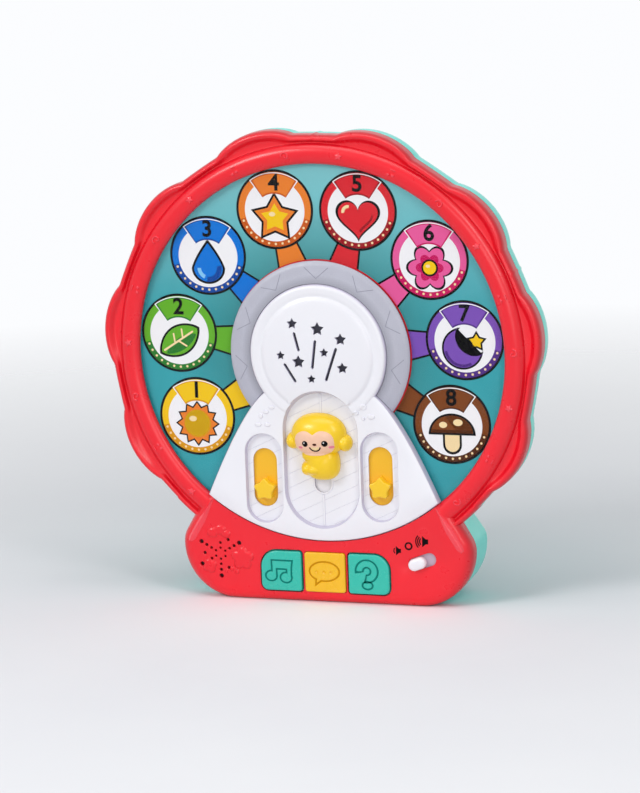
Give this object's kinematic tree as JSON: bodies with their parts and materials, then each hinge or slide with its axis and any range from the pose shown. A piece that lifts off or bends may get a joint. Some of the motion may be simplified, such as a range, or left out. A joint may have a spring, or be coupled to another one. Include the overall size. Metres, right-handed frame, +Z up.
{
  "type": "light-and-sound toy wheel",
  "caption": "Toddler's light-up picture wheel on a stand, with a sliding monkey, star sliders, sound buttons and a volume switch.",
  "frame": {"origin": "on the table, at the middle of the stand's underside", "axes": "+Z up; the printed face looks along -Y, so the viewer's right is +X"},
  "size_m": [0.2632, 0.0572, 0.2749],
  "materials": {
    "red_shell": "glossy moulded red plastic",
    "teal_shell": "glossy moulded turquoise plastic",
    "clear_window": "clear moulded plastic",
    "printed_panel": "printed light-passing plastic sheet",
    "white_plastic": "satin white plastic",
    "frosted_plastic": "frosted grey translucent plastic",
    "divider_plastic": "plain white plastic",
    "monkey_yellow": "glossy yellow plastic",
    "slider_orange": "glossy orange-yellow plastic",
    "button_teal": "satin blue-green plastic",
    "button_yellow": "satin yellow plastic",
    "silicone": "soft grey silicone",
    "circuit_board": "green circuit board",
    "steel": "zinc-plated steel",
    "switch_steel": "tinned steel can",
    "speaker_black": "black loudspeaker",
    "led_clear": "clear epoxy",
    "cell_wrap": "plain dark cell wrap"
  },
  "bodies": {
    "case": {"front_shell": "red_shell", "back_shell": "teal_shell", "window": "clear_window", "artwork_panel": "printed_panel", "light_divider": "divider_plastic", "led_board": "circuit_board", "led_1": "led_clear", "led_2": "led_clear", "led_3": "led_clear", "led_4": "led_clear", "led_5": "led_clear", "led_6": "led_clear", "led_7": "led_clear", "led_8": "led_clear", "light_ring": "frosted_plastic", "tower_panel": "white_plastic", "dome_screw_left": "steel", "dome_screw_right": "steel", "carriage_guide": "divider_plastic", "monkey_spring": "steel", "slider_tray_left": "divider_plastic", "slider_tray_right": "divider_plastic", "button_pad": "silicone", "main_board": "circuit_board", "volume_switch": "switch_steel", "speaker": "speaker_black", "battery_1": "cell_wrap", "battery_2": "cell_wrap", "battery_3": "cell_wrap", "battery_contact_left": "steel", "battery_contact_right": "steel", "case_screw_1": "steel", "case_screw_2": "steel", "case_screw_3": "steel", "case_screw_4": "steel", "case_screw_5": "steel", "case_screw_6": "steel", "case_screw_7": "steel"},
    "monkey": {"monkey_knob": "monkey_yellow", "monkey_carriage": "white_plastic", "carriage_screw": "steel"},
    "left_star": {"star_slider_left": "slider_orange"},
    "right_star": {"star_slider_right": "slider_orange"},
    "music_button": {"button_music": "button_teal"},
    "speech_button": {"button_speech": "button_yellow"},
    "question_button": {"button_question": "button_teal"},
    "volume": {"volume_knob": "white_plastic"},
    "door": {"battery_door": "teal_shell", "door_screw": "steel"}
  },
  "joints": [
    {"name": "monkey_slide", "type": "slide", "parent": "case", "child": "monkey", "axis": [0, 0, -1], "range_m": [0, 0.014], "stiffness_N_per_m": 80, "springref_m": -0.012, "deforming": ["monkey_spring"]},
    {"name": "left_star_slide", "type": "slide", "parent": "case", "child": "left_star", "axis": [0, 0, 1], "range_m": [0, 0.012]},
    {"name": "right_star_slide", "type": "slide", "parent": "case", "child": "right_star", "axis": [0, 0, 1], "range_m": [0, 0.012]},
    {"name": "music_press", "type": "slide", "parent": "case", "child": "music_button", "axis": [0, 1, 0], "range_m": [0, 0.0015], "stiffness_N_per_m": 500, "springref_m": -0.001, "deforming": ["button_pad"]},
    {"name": "speech_press", "type": "slide", "parent": "case", "child": "speech_button", "axis": [0, 1, 0], "range_m": [0, 0.0015], "stiffness_N_per_m": 500, "springref_m": -0.001, "deforming": ["button_pad"]},
    {"name": "question_press", "type": "slide", "parent": "case", "child": "question_button", "axis": [0, 1, 0], "range_m": [0, 0.0015], "stiffness_N_per_m": 500, "springref_m": -0.001, "deforming": ["button_pad"]},
    {"name": "volume_slide", "type": "slide", "parent": "case", "child": "volume", "axis": [0.9397, 0, 0.342], "range_m": [0, 0.0056]},
    {"name": "door_lift", "type": "slide", "parent": "case", "child": "door", "axis": [0, 1, 0], "range_m": [0, 0.015]}
  ]
}
